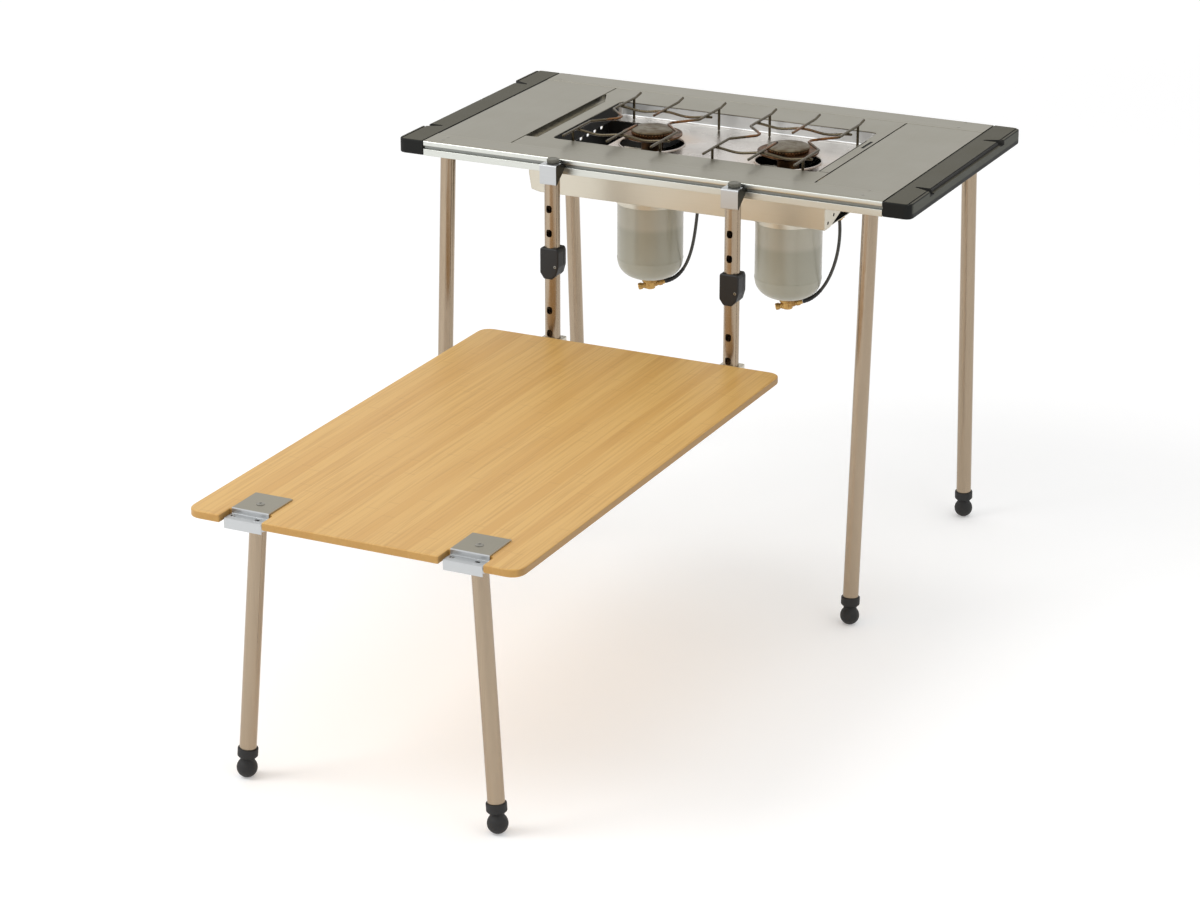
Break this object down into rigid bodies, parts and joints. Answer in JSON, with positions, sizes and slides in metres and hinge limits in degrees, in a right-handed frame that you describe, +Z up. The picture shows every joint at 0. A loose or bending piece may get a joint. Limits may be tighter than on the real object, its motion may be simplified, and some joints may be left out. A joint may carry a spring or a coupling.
{
  "type": "camp kitchen table",
  "caption": "Camp kitchen table with splayed legs, a drop-in gas stove, steel side panels and a low bamboo board hung from its front rail.",
  "frame": {"origin": "on the floor, under the middle of the whole set's bounding box", "axes": "+Z up, +X along the rails to the viewer's right, -Y the front, where the low board runs out"},
  "size_m": [0.89, 1.4693, 0.7183],
  "materials": {
    "satin_aluminium": "satin anodised extrusion",
    "brushed_stainless": "satin stainless sheet",
    "champagne_tube": "satin stainless tube",
    "dark_grey_plastic": "moulded, fine grain",
    "black_plastic": "moulded, semi-matt",
    "black_hose": "smooth rubber hose",
    "black_rubber": "matt rubber",
    "tray_steel": "bright pressed sheet",
    "body_steel": "satin folded sheet",
    "burner_iron": "heat-browned metal",
    "wire_steel": "bright wire, heat-tinted",
    "brass": "turned brass",
    "canister_paint": "printed lacquer, plain",
    "bamboo": "laminated bamboo, clear matt lacquer",
    "bright_silver": "bright satin plate"
  },
  "bodies": {
    "frame": {"front_rail": "satin_aluminium", "rear_rail": "satin_aluminium", "left_end_cap": "dark_grey_plastic", "right_end_cap": "dark_grey_plastic", "left_cross_bar": "satin_aluminium", "right_cross_bar": "satin_aluminium", "leg_socket_front_left": "satin_aluminium", "leg_socket_front_right": "satin_aluminium", "leg_socket_rear_left": "satin_aluminium", "leg_socket_rear_right": "satin_aluminium", "left_hanger_tube": "champagne_tube", "left_hanger_clamp": "bright_silver", "left_board_rest": "body_steel", "right_hanger_tube": "champagne_tube", "right_hanger_clamp": "bright_silver", "right_board_rest": "body_steel"},
    "left_panel": {"left_panel": "brushed_stainless"},
    "right_panel": {"right_panel": "brushed_stainless"},
    "stove": {"stove_tray": "tray_steel", "stove_body": "body_steel", "burner_mount_bar": "body_steel", "left_burner": "burner_iron", "left_canister_ring": "body_steel", "left_canister_fitting": "brass", "left_gas_hose": "black_hose", "left_hose_inlet": "brass", "right_burner": "burner_iron", "right_canister_ring": "body_steel", "right_canister_fitting": "brass", "right_gas_hose": "black_hose", "right_hose_inlet": "brass"},
    "board": {"bamboo_board": "bamboo", "left_board_bracket": "bright_silver", "left_bracket_screw": "brushed_stainless", "right_board_bracket": "bright_silver", "right_bracket_screw": "brushed_stainless"},
    "left_pot_support": {"left_pot_support": "wire_steel"},
    "left_gas_knob": {"left_gas_knob": "black_plastic"},
    "left_canister": {"left_canister": "canister_paint"},
    "left_clamp_knob": {"left_clamp_knob": "dark_grey_plastic"},
    "left_tube_slider": {"left_tube_slider": "black_plastic"},
    "right_pot_support": {"right_pot_support": "wire_steel"},
    "right_gas_knob": {"right_gas_knob": "black_plastic"},
    "right_canister": {"right_canister": "canister_paint"},
    "right_clamp_knob": {"right_clamp_knob": "dark_grey_plastic"},
    "right_tube_slider": {"right_tube_slider": "black_plastic"},
    "leg_front_left": {"leg_tube_front_left": "champagne_tube", "leg_foot_front_left": "black_rubber"},
    "leg_front_right": {"leg_tube_front_right": "champagne_tube", "leg_foot_front_right": "black_rubber"},
    "leg_rear_left": {"leg_tube_rear_left": "champagne_tube", "leg_foot_rear_left": "black_rubber"},
    "leg_rear_right": {"leg_tube_rear_right": "champagne_tube", "leg_foot_rear_right": "black_rubber"},
    "left_board_leg": {"left_board_leg": "champagne_tube", "left_board_foot": "black_rubber"},
    "right_board_leg": {"right_board_leg": "champagne_tube", "right_board_foot": "black_rubber"}
  },
  "joints": [
    {"name": "left_panel_lift", "type": "slide", "parent": "frame", "child": "left_panel", "axis": [0, 0, 1], "range_m": [0, 0.06]},
    {"name": "right_panel_lift", "type": "slide", "parent": "frame", "child": "right_panel", "axis": [0, 0, 1], "range_m": [0, 0.06]},
    {"name": "stove_lift", "type": "slide", "parent": "frame", "child": "stove", "axis": [0, 0, 1], "range_m": [0, 0.1]},
    {"name": "left_pot_support_lift", "type": "slide", "parent": "stove", "child": "left_pot_support", "axis": [0, 0, 1], "range_m": [0, 0.04]},
    {"name": "left_gas_knob_turn", "type": "hinge", "parent": "stove", "child": "left_gas_knob", "pos_m": [-0.095, 0.6101, 0.648], "axis": [0, 1, 0], "range_deg": [0, 270]},
    {"name": "left_canister_unscrew", "type": "hinge", "parent": "stove", "child": "left_canister", "pos_m": [-0.087, 0.4146, 0.453], "axis": [0, 0, 1], "range_deg": [0, 720]},
    {"name": "left_clamp_knob_turn", "type": "hinge", "parent": "frame", "child": "left_clamp_knob", "pos_m": [-0.157, 0.1991, 0.6965], "axis": [0, 0, 1], "range_deg": [0, 720]},
    {"name": "left_tube_slider_travel", "type": "slide", "parent": "frame", "child": "left_tube_slider", "axis": [0, 0, 1], "range_m": [-0.095, 0.1]},
    {"name": "right_pot_support_lift", "type": "slide", "parent": "stove", "child": "right_pot_support", "axis": [0, 0, 1], "range_m": [0, 0.04]},
    {"name": "right_gas_knob_turn", "type": "hinge", "parent": "stove", "child": "right_gas_knob", "pos_m": [0.147, 0.6101, 0.648], "axis": [0, 1, 0], "range_deg": [0, 270]},
    {"name": "right_canister_unscrew", "type": "hinge", "parent": "stove", "child": "right_canister", "pos_m": [0.16, 0.4146, 0.453], "axis": [0, 0, 1], "range_deg": [0, 720]},
    {"name": "right_clamp_knob_turn", "type": "hinge", "parent": "frame", "child": "right_clamp_knob", "pos_m": [0.157, 0.1991, 0.6965], "axis": [0, 0, 1], "range_deg": [0, 720]},
    {"name": "right_tube_slider_travel", "type": "slide", "parent": "frame", "child": "right_tube_slider", "axis": [0, 0, 1], "range_m": [-0.095, 0.1]},
    {"name": "board_lift", "type": "slide", "parent": "frame", "child": "board", "axis": [0, 0, 1], "range_m": [0, 0.12]},
    {"name": "leg_front_left_pull", "type": "slide", "parent": "frame", "child": "leg_front_left", "axis": [0, -0.0609, -0.9981], "range_m": [0, 0.025]},
    {"name": "leg_front_right_pull", "type": "slide", "parent": "frame", "child": "leg_front_right", "axis": [0, -0.0609, -0.9981], "range_m": [0, 0.025]},
    {"name": "leg_rear_left_pull", "type": "slide", "parent": "frame", "child": "leg_rear_left", "axis": [0, 0.0609, -0.9981], "range_m": [0, 0.025]},
    {"name": "leg_rear_right_pull", "type": "slide", "parent": "frame", "child": "leg_rear_right", "axis": [0, 0.0609, -0.9981], "range_m": [0, 0.025]},
    {"name": "left_board_leg_pull", "type": "slide", "parent": "board", "child": "left_board_leg", "axis": [-0.0745, -0.0262, -0.9969], "range_m": [0, 0.025]},
    {"name": "right_board_leg_pull", "type": "slide", "parent": "board", "child": "right_board_leg", "axis": [0.0745, -0.0262, -0.9969], "range_m": [0, 0.025]}
  ]
}
